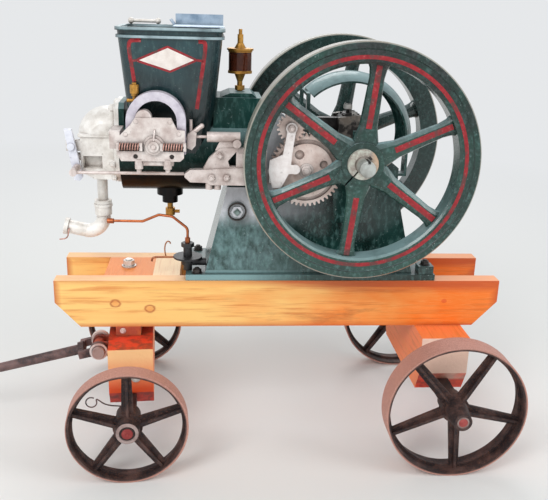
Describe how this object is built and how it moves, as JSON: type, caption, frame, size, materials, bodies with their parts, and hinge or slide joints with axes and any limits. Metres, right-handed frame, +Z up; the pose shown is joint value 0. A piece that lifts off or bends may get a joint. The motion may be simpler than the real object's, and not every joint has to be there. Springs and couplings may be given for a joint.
{
  "type": "portable farm engine on a hand truck",
  "caption": "Hopper-cooled petrol farm engine with two spoked flywheels and a side magneto, bolted to a timber hand truck with iron wheels and a drawbar.",
  "frame": {"origin": "on the ground, under the middle of the whole machine from the drawbar's handle to the rear wheels", "axes": "+X from the drawbar to the flywheels, +Y away from the magneto side, +Z up"},
  "size_m": [1.8115, 0.69, 0.9755],
  "materials": {
    "orange_timber": "orange-stained, weathered",
    "engine_green": "gloss enamel, old",
    "rusty_iron": "rusty",
    "dark_iron": "oily black",
    "silver_paint": "aluminium paint, worn",
    "bright_steel": "machined, oiled",
    "brass": "dull",
    "copper": "dull copper",
    "sight_glass": "clear",
    "galvanised": "galvanised"
  },
  "bodies": {
    "root": {"near_sill": "orange_timber", "far_sill": "orange_timber", "front_cross_member": "orange_timber", "spacer_block": "orange_timber", "front_bolster": "orange_timber", "rear_axletree": "orange_timber", "rear_axle": "dark_iron", "king_bolt": "dark_iron", "engine_base": "engine_green", "near_bearing_cap": "engine_green", "far_bearing_cap": "engine_green", "water_jacket": "engine_green", "hopper": "engine_green", "hopper_bar": "silver_paint", "splash_sheet": "galvanised", "cylinder_head": "silver_paint", "rocker_arm": "silver_paint", "pushrod": "bright_steel", "latch_bracket": "silver_paint", "intake_elbow": "silver_paint", "fuel_valve": "dark_iron", "fuel_line": "copper", "drain_cock": "brass", "priming_cup": "brass", "drip_oiler": "brass", "oiler_glass": "sight_glass", "magneto_body": "silver_paint", "magnet": "silver_paint", "trip_rod": "silver_paint", "crank_guard": "engine_green", "detent_arm": "silver_paint"},
    "front_truck": {"front_axletree": "orange_timber", "front_axle": "dark_iron", "drawbar_bracket": "rusty_iron"},
    "drawbar": {"drawbar": "rusty_iron"},
    "front_near_wheel": {"front_near_wheel": "rusty_iron"},
    "front_far_wheel": {"front_far_wheel": "rusty_iron"},
    "rear_near_wheel": {"rear_near_wheel": "rusty_iron"},
    "rear_far_wheel": {"rear_far_wheel": "rusty_iron"},
    "crank": {"crankshaft": "bright_steel", "near_flywheel": "engine_green", "far_flywheel": "engine_green"},
    "connecting_rod": {"connecting_rod": "bright_steel"},
    "cam_gear": {"cam_gear": "dark_iron"},
    "governor_wheel": {"governor_wheel": "dark_iron"}
  },
  "joints": [
    {"name": "steering", "type": "hinge", "parent": "root", "child": "front_truck", "pos_m": [0.00967, 0, 0.258], "axis": [0, 0, 1], "range_deg": [-63.6, 56.4]},
    {"name": "drawbar_lift", "type": "hinge", "parent": "front_truck", "child": "drawbar", "pos_m": [-0.06718, -0.00483, 0.19], "axis": [-0.0628, 0.998, 0], "range_deg": [0, 45]},
    {"name": "front_near_spin", "type": "hinge", "parent": "front_truck", "child": "front_near_wheel", "pos_m": [0.02766, -0.28593, 0.13], "axis": [-0.0628, 0.998, 0], "continuous": true},
    {"name": "front_far_spin", "type": "hinge", "parent": "front_truck", "child": "front_far_wheel", "pos_m": [-0.00832, 0.28593, 0.13], "axis": [-0.0628, 0.998, 0], "continuous": true},
    {"name": "rear_near_spin", "type": "hinge", "parent": "root", "child": "rear_near_wheel", "pos_m": [0.74767, -0.2785, 0.158], "axis": [0, 1, 0], "continuous": true},
    {"name": "rear_far_spin", "type": "hinge", "parent": "root", "child": "rear_far_wheel", "pos_m": [0.74767, 0.2785, 0.158], "axis": [0, 1, 0], "continuous": true},
    {"name": "crank_turn", "type": "hinge", "parent": "root", "child": "crank", "pos_m": [0.52567, 0, 0.6855], "axis": [0, 1, 0], "continuous": true},
    {"name": "rod_turn", "type": "hinge", "parent": "crank", "child": "connecting_rod", "pos_m": [0.51836, 0, 0.74505], "axis": [0, 1, 0], "continuous": true},
    {"name": "cam_turn", "type": "hinge", "parent": "root", "child": "cam_gear", "pos_m": [0.41144, -0.119, 0.66018], "axis": [0, 1, 0], "continuous": true},
    {"name": "governor_turn", "type": "hinge", "parent": "root", "child": "governor_wheel", "pos_m": [0.37452, -0.119, 0.75392], "axis": [0, 1, 0], "continuous": true}
  ],
  "couplings": [
    {"joint": "rod_turn", "follows": "crank_turn", "ratio": -1},
    {"joint": "cam_turn", "follows": "crank_turn", "ratio": -0.5},
    {"joint": "governor_turn", "follows": "crank_turn", "ratio": 1.7143}
  ]
}
